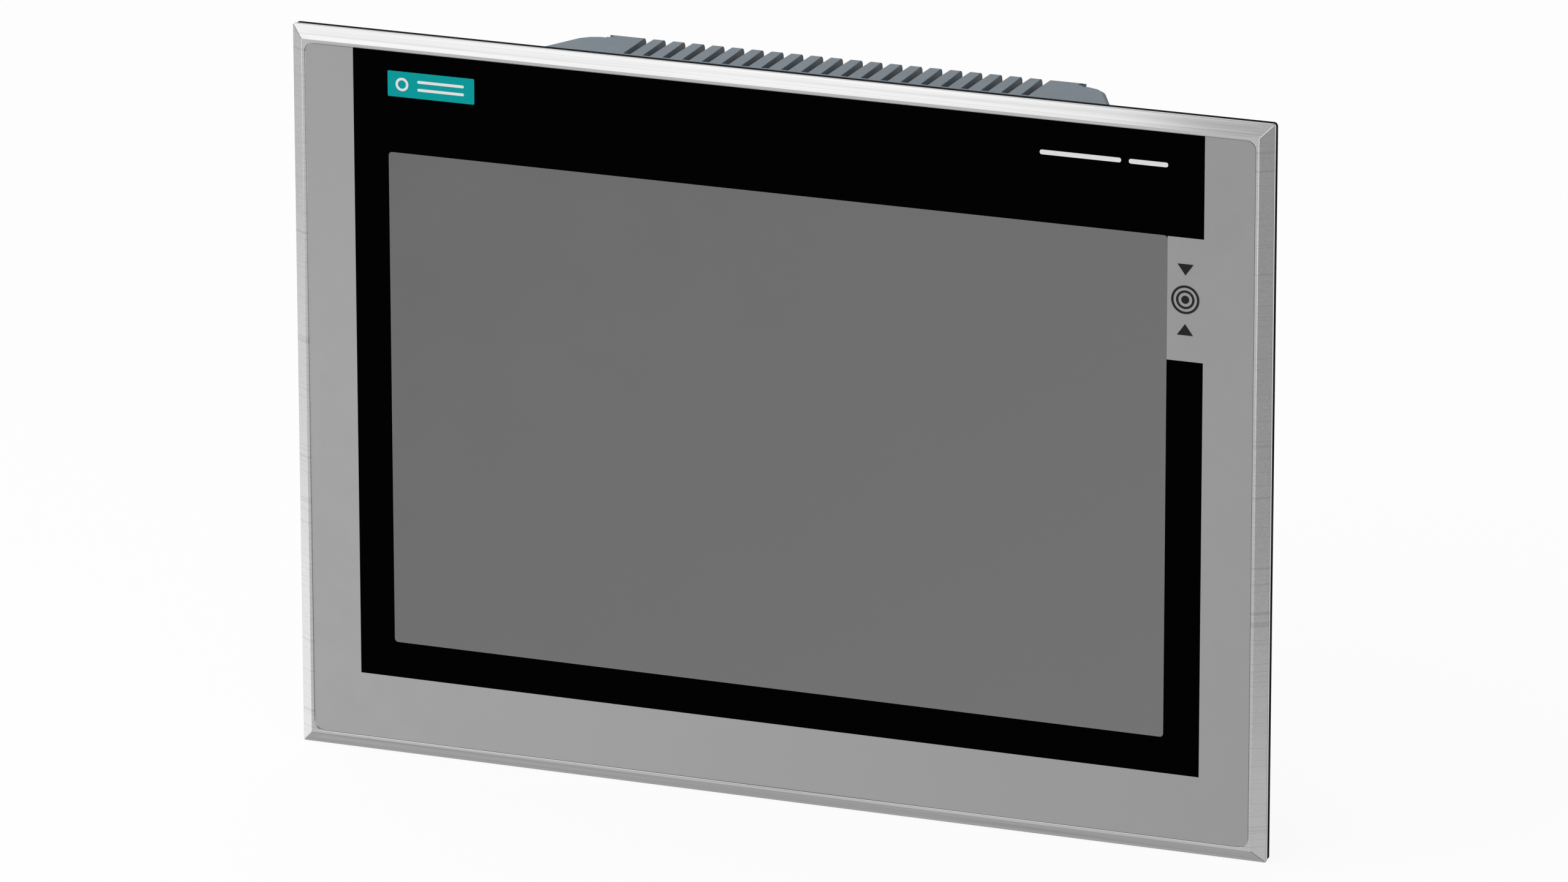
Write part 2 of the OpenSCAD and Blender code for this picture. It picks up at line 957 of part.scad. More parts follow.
// Plan outline of the whole cover: the raised middle between two shoulders with sloping sides
module cover_plan(inset) {
    r = shoulder_r - inset;
    flat = r - seam;
    front = tray_d - past;
    for (side = [0, 1])
        mirror([side, 0]) {
            polygon([
                [-1, front], [bend[0] + flat, front], [bend[0] + flat, bend[1]],
                bend + flat * lean_n, turn + flat * lean_n,
                [turn[0], turn[1] + flat], [-1, turn[1] + flat]
            ]);
            translate(bend)
                circle(r);
            translate(turn)
                circle(r);
        }
    core_plan(inset);
}

// Plan outline of one cooling slot, which widens towards the back
module slot_plan() {
    front = slot_w / 2;
    waist = front + 0.12;
    back = slot_back_w / 2;
    polygon([
        [-front, slot_y], [front, slot_y], [waist, slot_y + 11],
        [back, cover_d], [back, cover_d + past], [-back, cover_d + past],
        [-back, cover_d], [-waist, slot_y + 11]
    ]);
}

// Waste outside a rounded upper edge that stands at this reach
module edge_waste(reach) {
    difference() {
        translate([reach - edge_r + seam, top_z - edge_r + seam])
            square(edge_r + past);
        translate([reach - edge_r + seam, top_z - edge_r + seam])
            circle(edge_r);
    }
}

// Rounds the upper edges of one shoulder, around the two corners of its outline
module shoulder_waste() {
    run = norm(turn - bend);
    // corner, direction the edge faces, start and end along it
    for (edge = [[bend, 0, tray_d - past - bend[1], 3], [bend, lean, -3, run + 4],
                 [turn, lean + 21, -6, 6], [turn, lean + 43, -6, 6],
                 [turn, 90, -7, turn[0] - core_x]])
        translate([edge[0][0], edge[0][1], 0])
            rotate([0, 0, edge[1]])
                translate([0, edge[3], 0])
                    rotate([90, 0, 0])
                        linear_extrude(edge[3] - edge[2])
                            edge_waste(shoulder_r);
}

// Side outline of the cover's raised middle, with its rear edges rounded
module cover_side() {
    low = -socket_z;
    translate([tray_d, low])
        square([cover_d - tray_d - edge_r, top_z - low]);
    translate([tray_d, low + edge_r])
        square([cover_d - tray_d, top_z - low - 2 * edge_r]);
    for (z = [low + edge_r, top_z - edge_r])
        translate([cover_d - edge_r, z])
            circle(edge_r);
}

module socket_holes() {
    low = -socket_z - past;
    high = -socket_z + cover_wall + past;
    for (x = network_x)
        span([x - network_w / 2 - fit_gap, board_back_y - fit_gap, low],
             [x + network_w / 2 + fit_gap, board_back_y + network_h + fit_gap, high]);
    for (x = usb_x)
        span([x - usb_w / 2 - fit_gap, board_back_y - fit_gap, low],
             [x + usb_w / 2 + fit_gap, board_back_y + usb_h + fit_gap, high]);
    span([mini_x - mini_w / 2 - fit_gap, board_back_y - fit_gap, low],
         [mini_x + mini_w / 2 + fit_gap, board_back_y + mini_h + fit_gap, high]);
    span([power_x - power_w / 2 - fit_gap, board_back_y - fit_gap, low],
         [power_x + power_w / 2 + fit_gap, board_back_y + 1 + power_h + fit_gap, high]);
    translate([audio_x, audio_y, low])
        cylinder(r = 3 + fit_gap, h = high - low);
    translate([serial_x, serial_y, 0]) {
        upright(low, high)
            dee(7.4 + fit_gap, 3.6 + fit_gap);
        for (side = [-1, 1])
            translate([side * serial_pitch / 2, 0, low])
                cylinder(r = 1.7, h = high - low);
    }
}

module rear_cover() {
    color("#7f8890")
        difference() {
            union() {
                difference() {
                    intersection() {
                        upright(-socket_z, top_z)
                            cover_plan(0);
                        along_x(-cover_x - past, cover_x + past)
                            cover_side();
                    }
                    for (side = [0, 1])
                        mirror([side, 0, 0])
                            shoulder_waste();
                }
                for (side = [-1, 1], z = ear_z)
                    translate([side * ear_x, 0, z])
                        across(tray_d, tray_d + ear_t)
                            rounded(15, 11, 3);
            }
            // inside, below the fins
            intersection() {
                upright(-socket_z + cover_wall, lower_top)
                    cover_plan(cover_wall);
                span([-cover_x, tray_d - past, -socket_z], [cover_x, cover_d, lower_top]);
            }
            // inside, in front of the fins
            span([-block_in_x, tray_d - past, lower_top - past],
                 [block_in_x, base_y, top_z - cover_wall]);
            // inside, beside the fins
            difference() {
                upright(lower_top - past, top_z - cover_wall)
                    cover_plan(cover_wall);
                span([-block_in_x, 0, -top_z], [block_in_x, cover_d, top_z]);
            }
            for (i = [0 : slot_count - 1])
                translate([(i - (slot_count - 1) / 2) * slot_pitch, 0, 0])
                    upright(slot_z, top_z + past)
                        slot_plan();
            socket_holes();
            for (z = reader_z)
                span([cover_x - cover_wall - past, board_back_y + 0.2, z - card_w / 2 - 0.4],
                     [cover_x + past, board_back_y + 0.8 + card_gap, z + card_w / 2 + 0.4]);
            for (foot = lock_feet)
                translate([cover_x - cover_wall - past, rivet_y, foot + rivet_up])
                    rotate([0, 90, 0])
                        cylinder(r = 1.55, h = cover_wall + 2 * past);
            for (side = [-1, 1], z = ear_z)
                translate([side * (ear_x + tiny), 0, z])
                    rod_y(screw_hole_r, tray_d - past, tray_d + ear_t + past);
            across(cover_d - label_sink, cover_d + past)
                translate([0, label_z])
                    rounded(label_w + 0.6, label_h + 0.6, 1.8);
        }
}

module cover_screws() {
    color("#d5d5d0")
        for (side = [-1, 1], z = ear_z)
            translate([side * ear_x, 0, z])
                screw(tray_d + ear_t, 7);
}

module rating_plate() {
    color("#dcdedd")
        across(cover_d - label_sink, cover_d - 0.1)
            translate([0, label_z])
                rounded(label_w, label_h, 1.5);
}

// ---------- bonding terminal ----------

module bonding_stud() {
    color("#cfd1cd")
        translate([stud_x, 0, stud_z]) {
            rod_y(4, tray_d - tray_wall - 1.6, tray_d - tray_wall);
            rod_y(stud_r - 0.02, tray_d - tray_wall - tiny, tray_d + washer_t + nut_t);
            rod_y(stud_r, tray_d + washer_t + nut_t - tiny, stud_end);
        }
}

module bonding_washer() {
    color("#c3c6c3")
        translate([stud_x, 0, stud_z])
            difference() {
                rod_y(4.5, tray_d, tray_d + washer_t);
                rod_y(nut_hole_r, tray_d - past, tray_d + washer_t + past);
            }
}

module bonding_nut() {
    color("#cfcfc6")
        translate([stud_x, 0, stud_z])
            difference() {
                hex_y(7, tray_d + washer_t, tray_d + washer_t + nut_t);
                rod_y(nut_hole_r, tray_d, tray_d + washer_t + nut_t + past);
            }
}

front_bezel();
panel_gasket();
decor_foil();
black_mask();
touch_film();
corner_badge();
badge_mark();
header_bars();
touch_symbol();
touch_glass();
touch_tail();
touch_board();
dust_foam();
lcd_cell();
diffuser_sheets();
light_guide();
led_bar();
lcd_pan();
lcd_cable();
display_carrier();
carrier_standoffs();
carrier_screws();
main_board();
board_standoffs();
board_screws();
processor();
thermal_pad();
heat_spreader();
memory_chips();
power_coils();
capacitors();
cell_holder();
coin_cell();
network_shells();
network_inserts();
network_contacts();
usb_shells();
usb_tongues();
mini_usb_port();
serial_shell();
serial_insert();
serial_screwlocks();
audio_jack();
power_header();
power_pins();
card_readers();
card_ejector_upper();
card_ejector_lower();
card_lock();
lock_rivets();
rear_tray();
bezel_posts();
tray_screws();
rear_cover();
cover_screws();
rating_plate();
bonding_stud();
bonding_washer();
bonding_nut();
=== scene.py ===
import json
import math

import bmesh
import bpy
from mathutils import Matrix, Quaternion, Vector


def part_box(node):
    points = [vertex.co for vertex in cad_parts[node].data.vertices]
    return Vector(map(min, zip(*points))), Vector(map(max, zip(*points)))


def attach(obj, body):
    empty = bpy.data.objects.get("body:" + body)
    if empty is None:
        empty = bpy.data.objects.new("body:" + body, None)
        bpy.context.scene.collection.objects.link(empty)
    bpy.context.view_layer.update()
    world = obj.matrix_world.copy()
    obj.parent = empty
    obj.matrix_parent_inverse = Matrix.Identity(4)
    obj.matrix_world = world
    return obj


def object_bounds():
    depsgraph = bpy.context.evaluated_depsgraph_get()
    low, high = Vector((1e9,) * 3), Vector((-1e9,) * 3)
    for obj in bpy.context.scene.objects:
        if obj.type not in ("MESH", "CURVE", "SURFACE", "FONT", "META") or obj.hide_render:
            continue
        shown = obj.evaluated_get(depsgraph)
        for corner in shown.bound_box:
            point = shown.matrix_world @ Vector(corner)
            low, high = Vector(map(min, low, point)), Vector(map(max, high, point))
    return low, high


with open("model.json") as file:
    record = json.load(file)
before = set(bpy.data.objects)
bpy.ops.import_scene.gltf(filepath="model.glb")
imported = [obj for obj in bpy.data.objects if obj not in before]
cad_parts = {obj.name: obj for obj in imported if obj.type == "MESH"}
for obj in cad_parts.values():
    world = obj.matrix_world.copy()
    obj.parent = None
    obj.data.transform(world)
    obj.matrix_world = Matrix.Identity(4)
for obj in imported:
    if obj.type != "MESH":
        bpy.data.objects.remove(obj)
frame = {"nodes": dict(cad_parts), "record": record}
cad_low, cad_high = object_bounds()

MM = 0.001
FLOOR_Z = cad_low.z

# ---------- camera ----------

VIEW_AZIMUTH = 21.407
VIEW_ELEVATION = 17.485
VIEW_ROLL = -0.097
VIEW_DISTANCE = 3.5088
VIEW_AIM = (0.0013, 0.0, -0.0010)
LENS = 254.6


def direction(azimuth, elevation):
    """Unit vector from the object towards a viewer at that azimuth and elevation."""
    a, e = math.radians(azimuth), math.radians(elevation)
    return Vector((math.sin(a) * math.cos(e), -math.cos(a) * math.cos(e), math.sin(e)))


def place(name, data):
    """A new object in the scene that shows this camera, lamp or mesh."""
    obj = bpy.data.objects.new(name, data)
    bpy.context.scene.collection.objects.link(obj)
    return obj


def aim(obj, at, towards):
    """Stands a lamp or a card at one point and turns its face towards another."""
    obj.location = at
    obj.rotation_mode = "QUATERNION"
    obj.rotation_quaternion = (Vector(towards) - Vector(at)).normalized().to_track_quat("-Z", "Y")


def add_camera():
    data = bpy.data.cameras.new("camera")
    data.lens = LENS
    data.sensor_width = 36
    data.clip_start = 0.05
    data.clip_end = 60
    camera = place("camera", data)
    back = direction(VIEW_AZIMUTH, VIEW_ELEVATION)
    camera.location = Vector(VIEW_AIM) + back * VIEW_DISTANCE
    camera.rotation_mode = "QUATERNION"
    roll = Quaternion((0, 0, 1), math.radians(VIEW_ROLL))
    camera.rotation_quaternion = (-back).to_track_quat("-Z", "Y") @ roll
    bpy.context.scene.camera = camera


# ---------- light and floor ----------

def add_softbox(name, at, towards, width, height, brightness, matt=True):
    """A rectangular lamp whose face has that brightness, in the world colour's own unit. If not matt, only
    reflections show it."""
    data = bpy.data.lights.new(name, "AREA")
    data.shape = "RECTANGLE"
    data.size = width
    data.size_y = height
    data.energy = brightness * math.pi * width * height
    lamp = place(name, data)
    aim(lamp, at, towards)
    lamp.visible_camera = False
    lamp.visible_diffuse = matt


def maths_node(tree, operation, a, b):
    """The result of a maths node in that tree. Both inputs are numbers or sockets."""
    node = tree.nodes.new("ShaderNodeMath")
    node.operation = operation
    for socket, value in zip(node.inputs, (a, b)):
        if isinstance(value, bpy.types.NodeSocket):
            tree.links.new(value, socket)
        else:
            socket.default_value = value
    return node.outputs[0]


def add_world():
    """A studio that is brighter on the left and in front, with more fill for matt surfaces."""
    world = bpy.data.worlds.new("studio")
    bpy.context.scene.world = world
    world.use_nodes = True
    tree = world.node_tree
    nodes, links = tree.nodes, tree.links
    nodes.clear()
    output = nodes.new("ShaderNodeOutputWorld")
    view = nodes.new("ShaderNodeTexCoord")
    axes = nodes.new("ShaderNodeSeparateXYZ")
    links.new(view.outputs["Generated"], axes.inputs[0])

    def maths(operation, a, b):
        return maths_node(tree, operation, a, b)

    path = nodes.new("ShaderNodeLightPath")
    matt = path.outputs["Is Diffuse Ray"]
    contrast = maths("ADD", maths("MULTIPLY", matt, -0.24), -0.226)
    sideways = maths("MULTIPLY", axes.outputs["X"], contrast)
    forward = maths("MULTIPLY", axes.outputs["Y"], -0.141)
    below = maths("MULTIPLY", maths("MINIMUM", axes.outputs["Z"], 0.0), 0.125)
    overhead = maths("ADD", maths("MULTIPLY", matt, 0.32), -0.253)
    above = maths("MULTIPLY", maths("MAXIMUM", axes.outputs["Z"], 0.0), overhead)
    level = maths("ADD", maths("ADD", sideways, forward), maths("ADD", below, above))
    fill = maths("ADD", maths("MULTIPLY", matt, 0.55), 1.0)
    around = nodes.new("ShaderNodeBackground")
    links.new(maths("MULTIPLY", maths("ADD", level, 0.514), fill), around.inputs["Strength"])
    seen = nodes.new("ShaderNodeBackground")
    seen.inputs["Strength"].default_value = 1.0
    seen.inputs["Color"].default_value = (0.97, 0.97, 0.97, 1)
    mix = nodes.new("ShaderNodeMixShader")
    links.new(path.outputs["Is Camera Ray"], mix.inputs["Fac"])
    links.new(around.outputs[0], mix.inputs[1])
    links.new(seen.outputs[0], mix.inputs[2])
    links.new(mix.outputs[0], output.inputs["Surface"])


def add_floor():
    """A wide pale floor under the lower edge of the front. It shows only from above."""
    mesh = bpy.data.meshes.new("floor")
    reach = 14.0
    corners = [(-reach, -reach), (reach, -reach), (reach, reach), (-reach, reach)]
    mesh.from_pydata([(x, y, FLOOR_Z - 0.0002) for x, y in corners], [], [(0, 1, 2, 3)])
    floor = place("floor", mesh)
    floor.visible_glossy = False
    floor.visible_diffuse = False
    floor.visible_shadow = False
    material = bpy.data.materials.new("floor_paper")
    material.use_nodes = True
    nodes, links = material.node_tree.nodes, material.node_tree.links
    nodes.clear()
    output = nodes.new("ShaderNodeOutputMaterial")
    paper = nodes.new("ShaderNodeBsdfDiffuse")
    paper.inputs["Color"].default_value = (0.12, 0.12, 0.12, 1)
    glow = nodes.new("ShaderNodeEmission")
    glow.inputs["Strength"].default_value = 0.90
    both = nodes.new("ShaderNodeAddShader")
    clear = nodes.new("ShaderNodeBsdfTransparent")
    side = nodes.new("ShaderNodeNewGeometry")
    pick = nodes.new("ShaderNodeMixShader")
    links.new(paper.outputs[0], both.inputs[0])
    links.new(glow.outputs[0], both.inputs[1])
    links.new(side.outputs["Backfacing"], pick.inputs["Fac"])
    links.new(both.outputs[0], pick.inputs[1])
    links.new(clear.outputs[0], pick.inputs[2])
    links.new(pick.outputs[0], output.inputs["Surface"])
    mesh.materials.append(material)


def add_flag(name, at, towards, width, height):
    """A black card that only reflections show, for the thin dark lines along machined edges."""
    mesh = bpy.data.meshes.new(name)
    x, y = width / 2, height / 2
    mesh.from_pydata([(-x, -y, 0), (x, -y, 0), (x, y, 0), (-x, y, 0)], [], [(0, 1, 2, 3)])
    flag = place(name, mesh)
    aim(flag, at, towards)
    flag.visible_camera = False
    flag.visible_diffuse = False
    flag.visible_transmission = False
    flag.visible_shadow = False
    material = bpy.data.materials.new(name)
    material.use_nodes = True
    shader = material.node_tree.nodes["Principled BSDF"]
    shader.inputs["Base Color"].default_value = (0.01, 0.01, 0.01, 1)
    shader.inputs["Roughness"].default_value = 1.0
    shader.inputs["Specular IOR Level"].default_value = 0.0
    mesh.materials.append(material)


def add_lights():
    """Each lamp is mirrored in one part of the front's frame, or lights the matt surfaces too."""
    edge_x, edge_z = 0.165, 0.12
    right_edge = (edge_x, 0.0, 0.0)
    top_edge = (0.0, 0.0, edge_z)
    # mirrored in the top slope, up to a little short of its right end
    key_x, key_width, key_z = -0.339, 0.532, 0.60
    add_softbox("key", (key_x, -0.40, key_z), (key_x, -0.40, 0.0), key_width, 0.56, 0.67)
    add_softbox("side", (-0.95, -0.75, 0.10), (0.0, 0.0, 0.0), 0.7, 0.7, 0.55)
    # mirrored in the left slope, which grows brighter downwards, and low in the right slope
    add_softbox("low_left", (-1.30, 0.17, -0.675), (0.0, 0.17, -0.675), 0.70, 0.77, 0.19)
    add_softbox("lower_left", (-1.29, 0.17, -0.73), (0.0, 0.17, -0.73), 0.70, 0.66, 0.21)
    add_softbox("low_right", (1.25, -0.75, -0.85), (0.0, -0.75, -0.85), 0.60, 0.62, 0.27)
    # bright lines along the right chamfers and the outer walls
    add_softbox("edge_front", (0.78, -1.78, 0.25), right_edge, 0.40, 1.70, 0.9, matt=False)
    add_softbox("edge_back", (0.62, 1.24, 0.05), right_edge, 0.60, 1.60, 0.4, matt=False)
    add_softbox("edge_top", (-0.345, 0.10, key_z), (-0.345, 0.10, 0.0), key_width, 0.40, 0.6, matt=False)
    add_softbox("edge_top_back", (-0.49, 1.24, 0.54), top_edge, 0.60, 0.35, 0.4, matt=False)
    # dark lines along the chamfers of two mitres
    upper_left = (-edge_x, 0.0, edge_z)
    lower_right = (edge_x, 0.0, -edge_z)
    add_flag("flag_upper_left", (-0.83, -0.42, 0.265), upper_left, 0.22, 0.22)
    add_flag("flag_lower_right", (0.287, -0.463, -0.761), lower_right, 0.22, 0.22)


# ---------- materials ----------

class Finish:
    """A Principled material with its patterns placed in metres in the row frame."""

    def __init__(self, name, colour, roughness, metallic=0.0, **fixed):
        self.material = bpy.data.materials.new(name)
        self.material.use_nodes = True
        tree = self.material.node_tree
        self.nodes, self.links = tree.nodes, tree.links
        self.shader = self.nodes["Principled BSDF"]
        self.place = self.nodes.new("ShaderNodeTexCoord").outputs["Object"]
        self.height = None
        self.set("Base Color", (*colour, 1))
        self.set("Roughness", roughness)
        self.set("Metallic", metallic)
        for socket, value in fixed.items():
            self.set(socket.replace("_", " "), value)

    def set(self, socket, value):
        if isinstance(value, bpy.types.NodeSocket):
            self.links.new(value, self.shader.inputs[socket])
        else:
            self.shader.inputs[socket].default_value = value

    def noise(self, size, stretch=(1, 1, 1), detail=3.0, rough=0.55, shift=0.0):
        """Cloudy pattern whose blobs are about size across, longer along the axes with stretch above 1."""
        mapping = self.nodes.new("ShaderNodeMapping")
        mapping.inputs["Scale"].default_value = [1 / (size * s) for s in stretch]
        mapping.inputs["Location"].default_value = (shift, 2 * shift, 3 * shift)
        texture = self.nodes.new("ShaderNodeTexNoise")
        texture.inputs["Scale"].default_value = 1.0
        texture.inputs["Detail"].default_value = detail
        texture.inputs["Roughness"].default_value = rough
        self.links.new(self.place, mapping.inputs["Vector"])
        self.links.new(mapping.outputs["Vector"], texture.inputs["Vector"])
        return texture.outputs["Fac"]

    def cells(self, size, feature="F1"):
        mapping = self.nodes.new("ShaderNodeMapping")
        mapping.inputs["Scale"].default_value = (1 / size, 1 / size, 1 / size)
        texture = self.nodes.new("ShaderNodeTexVoronoi")
        texture.feature = feature
        texture.inputs["Scale"].default_value = 1.0
        self.links.new(self.place, mapping.inputs["Vector"])
        self.links.new(mapping.outputs["Vector"], texture.inputs["Vector"])
        return texture.outputs["Distance"]

    def axis(self, name):
        split = self.nodes.new("ShaderNodeSeparateXYZ")
        self.links.new(self.place, split.inputs[0])
        return split.outputs[name]

    def maths(self, operation, a, b=0.0):
        return maths_node(self.material.node_tree, operation, a, b)

    def between(self, value, low, high, start=0.3, end=0.7, smooth=False):
        """low where value is start, high where it is end."""
        node = self.nodes.new("ShaderNodeMapRange")
        node.interpolation_type = "SMOOTHSTEP" if smooth else "LINEAR"
        self.links.new(value, node.inputs["Value"])
        node.inputs["From Min"].default_value = start
        node.inputs["From Max"].default_value = end
        node.inputs["To Min"].default_value = low
        node.inputs["To Max"].default_value = high
        return node.outputs["Result"]

    def blend(self, fac, a, b):
        node = self.nodes.new("ShaderNodeMix")
        node.data_type = "RGBA"
        self.links.new(fac, node.inputs["Factor"])
        for socket, value in zip(("A", "B"), (a, b)):
            target = [s for s in node.inputs if s.name == socket and s.type == "RGBA"][0]
            if isinstance(value, bpy.types.NodeSocket):
                self.links.new(value, target)
            else:
                target.default_value = (*value, 1)
        return [s for s in node.outputs if s.type == "RGBA"][0]

    def painted_light_gradient(self, x_range, z_range, lower, upper):
        """Painted light and shade: a grey that grows lighter or darker across the front. lower and upper are
        each (left, right).
        """
        across = self.between(self.axis("X"), 0.0, 1.0, *x_range)
        upwards = self.between(self.axis("Z"), 0.0, 1.0, *z_range)
        return self.blend(upwards, self.blend(across, *map(grey, lower)),
                          self.blend(across, *map(grey, upper)))

    def tint(self, fac, a, b):
        self.set("Base Color", self.blend(fac, a, b))

    def relief(self, height, depth, strength=1.0):
        """Bumps of that depth in metres. Later reliefs lie on the earlier ones."""
        bump = self.nodes.new("ShaderNodeBump")
        bump.inputs["Distance"].default_value = depth
        bump.inputs["Strength"].default_value = strength
        self.links.new(height, bump.inputs["Height"])
        if self.height is not None:
            self.links.new(self.height, bump.inputs["Normal"])
        self.height = bump.outputs["Normal"]
        self.set("Normal", self.height)


def grey(level, warmth=0.0):
    return (level * (1 + warmth), level, level * (1 - warmth))


def front_aluminium():
    """Aluminium brushed lengthwise: long streaks across the front, short ones on the end slopes."""
    f = Finish("front_aluminium", grey(0.86), 0.2, 1.0)
    fine = f.noise(0.16 * MM, (220, 1, 1), 2.0)
    broad = f.noise(0.55 * MM, (160, 1, 1), 3.0, shift=7.0)
    patch = f.noise(24 * MM, (2.5, 1, 1), 2.0, shift=3.0)
    streaks = f.maths("ADD", f.maths("MULTIPLY", fine, 0.45), f.maths("MULTIPLY", broad, 0.55))
    bands = f.noise(1.3 * MM, (400, 400, 1), 1.0, shift=17.0)
    end_slope = 158 * MM
    lengthwise = f.between(f.maths("ABSOLUTE", f.axis("X")), 1.0, 0.15, end_slope, end_slope + 2 * MM)
    bands = f.maths("MULTIPLY", f.maths("SUBTRACT", bands, 0.5), lengthwise)
    mixed = f.maths("ADD", f.maths("MULTIPLY", streaks, 0.6), f.maths("MULTIPLY", bands, 0.4))
    mixed = f.maths("ADD", mixed, 0.2)
    brushed = f.blend(f.between(mixed, 0.0, 1.0, 0.36, 0.64), grey(0.74), grey(0.93))
    ripple = f.noise(4.2 * MM, (400, 400, 1), 1.0, shift=11.0)
    scored = f.maths("ABSOLUTE", f.maths("SUBTRACT", ripple, 0.5))
    f.tint(f.between(scored, 0.55, 0.0, 0.001, 0.011), brushed, grey(0.62))
    f.set("Roughness", f.maths("ADD", f.between(streaks, 0.14, 0.20), f.between(patch, -0.02, 0.02)))
    f.relief(streaks, 0.010 * MM, 0.4)
    return f.material


def gasket_rubber():
    f = Finish("gasket_rubber", grey(0.004), 0.7, 0.0, Specular_IOR_Level=0.12)
    pores = f.noise(0.35 * MM, detail=4.0)
    f.tint(f.between(pores, 0.0, 1.0), grey(0.003), grey(0.007))
    f.set("Roughness", f.between(pores, 0.62, 0.82))
    f.relief(pores, 0.05 * MM, 0.6)
    return f.material


def foil_silver():
    """Silver-grey lacquer print under a matt foil."""
    f = Finish("foil_silver", grey(0.40), 0.48, 0.0, Specular_IOR_Level=0.35)
    flakes = f.cells(0.14 * MM)
    cloud = f.noise(9 * MM, detail=3.0, shift=5.0)
    grain = f.noise(0.22 * MM, detail=2.0)
    # painted light: the silver foil is lighter on the left and darker towards the top, as if lit from the
    # left
    painted_light_gradient = f.painted_light_gradient((-0.16, 0.16), (0.0, 0.11), (0.460, 0.384), (0.412, 0.360))
    base = f.blend(f.between(cloud, 0.0, 0.35), painted_light_gradient, grey(0.408))
    f.tint(f.between(flakes, 0.35, 0.0, 0.05, 0.5), base, grey(0.45))
    f.set("Roughness", f.between(grain, 0.42, 0.56))
    f.relief(grain, 0.006 * MM, 0.5)
    return f.material


def foil_black():
    f = Finish("foil_black", grey(0.0006), 0.42, 0.0, Specular_IOR_Level=0.008)
    grain = f.noise(0.25 * MM, detail=2.0)
    f.tint(f.between(grain, 0.0, 1.0), grey(0.0003), grey(0.0009))
    f.set("Roughness", f.between(grain, 0.38, 0.5))
    f.relief(grain, 0.005 * MM, 0.4)
    return f.material


def film_grey():
    """Matt anti-glare film over the unlit display."""
    f = Finish("film_grey", grey(0.19), 0.55, 0.0, Specular_IOR_Level=0.2)
    sparkle = f.noise(0.07 * MM, detail=2.0, rough=0.7)
    cloud = f.noise(30 * MM, detail=2.0)
    # painted shade: the film is darker on the left and towards the top, evening out the brighter light there
    painted_light_gradient = f.painted_light_gradient((-0.13, 0.13), (-0.085, 0.085), (0.187, 0.213), (0.160, 0.192))
    base = f.blend(f.between(cloud, 0.0, 0.25), painted_light_gradient, grey(0.200))
    f.tint(f.between(sparkle, 0.0, 0.6, 0.4, 0.75), base, grey(0.213))
    f.set("Roughness", f.between(sparkle, 0.5, 0.62))
    f.relief(sparkle, 0.004 * MM, 0.5)
    return f.material


def badge_teal():
    f = Finish("badge_teal", (0.0, 0.37, 0.35), 0.4, 0.0, Specular_IOR_Level=0.06)
    grain = f.noise(0.2 * MM, detail=2.0)
    f.tint(f.between(grain, 0.0, 1.0), (0.0, 0.361, 0.368), (0.0, 0.384, 0.388))
    f.set("Roughness", f.between(grain, 0.36, 0.48))
    f.relief(grain, 0.004 * MM, 0.4)
    return f.material


def ink(name, level):
    f = Finish(name, grey(level), 0.45, 0.0, Specular_IOR_Level=0.3)
    grain = f.noise(0.12 * MM, detail=3.0)
    f.tint(f.between(grain, 0.0, 1.0), grey(level * 0.96), grey(min(level * 1.05, 0.98)))
    f.set("Roughness", f.between(grain, 0.4, 0.55))
    f.relief(grain, 0.006 * MM, 0.4)
    return f.material


def clear_sheet(name, colour, roughness, transmission):
    f = Finish(name, colour, roughness, 0.0, Transmission_Weight=transmission, IOR=1.5)
    smear = f.noise(14 * MM, detail=4.0)
    f.set("Roughness", f.between(smear, roughness * 0.7, roughness * 1.4))
    f.relief(f.noise(2.5 * MM), 0.01 * MM, 0.2)
    return f.material


def flex_amber():
    """Polyimide ribbon with its copper tracks showing through."""
    f = Finish("flex_amber", (0.42, 0.16, 0.025), 0.32, 0.0, Coat_Weight=0.4)
    tracks = f.maths("SINE", f.maths("MULTIPLY", f.axis("X"), 2 * math.pi / (1.0 * MM)))
    cloud = f.noise(3 * MM)
    f.tint(f.between(tracks, 0.0, 1.0, -0.2, 0.2), (0.30, 0.10, 0.018), (0.52, 0.23, 0.05))
    f.set("Roughness", f.between(cloud, 0.26, 0.4))
    f.relief(tracks, 0.03 * MM, 0.4)
    return f.material


def board_green():
    """Green solder mask over copper tracks."""
    f = Finish("board_green", (0.012, 0.10, 0.035), 0.35, 0.0, Coat_Weight=0.5, Coat_Roughness=0.15)
    weave_x = f.maths("SINE", f.maths("MULTIPLY", f.axis("X"), 2 * math.pi / (0.9 * MM)))
    weave_z = f.maths("SINE", f.maths("MULTIPLY", f.axis("Z"), 2 * math.pi / (0.9 * MM)))
    weave = f.maths("MULTIPLY", weave_x, weave_z)
    tracks = f.noise(2.2 * MM, (9, 1, 1), 2.0)
    base = f.blend(f.between(tracks, 0.0, 1.0, 0.48, 0.52), (0.010, 0.085, 0.03), (0.02, 0.15, 0.05))
    f.tint(f.between(weave, 0.0, 0.35, -1.0, 1.0), base, (0.03, 0.17, 0.06))
    f.set("Roughness", f.between(tracks, 0.3, 0.42))
    f.relief(tracks, 0.03 * MM, 0.4)
    return f.material


def foam_black():
    f = Finish("foam_black", grey(0.03), 0.95)
    bubbles = f.cells(0.6 * MM)
    f.tint(f.between(bubbles, 0.0, 1.0, 0.0, 0.6), grey(0.01), grey(0.05))
    f.set("Roughness", f.between(bubbles, 0.98, 0.85))
    f.relief(bubbles, 0.25 * MM, 0.9)
    return f.material


def lcd_glass():
    f = Finish("lcd_glass", grey(0.02), 0.12, 0.0, Coat_Weight=0.6)
    smear = f.noise(12 * MM, detail=4.0)
    f.tint(f.between(smear, 0.0, 1.0), grey(0.014), grey(0.024))
    f.set("Roughness", f.between(smear, 0.08, 0.18))
    f.relief(f.noise(1.5 * MM), 0.004 * MM, 0.3)
    return f.material


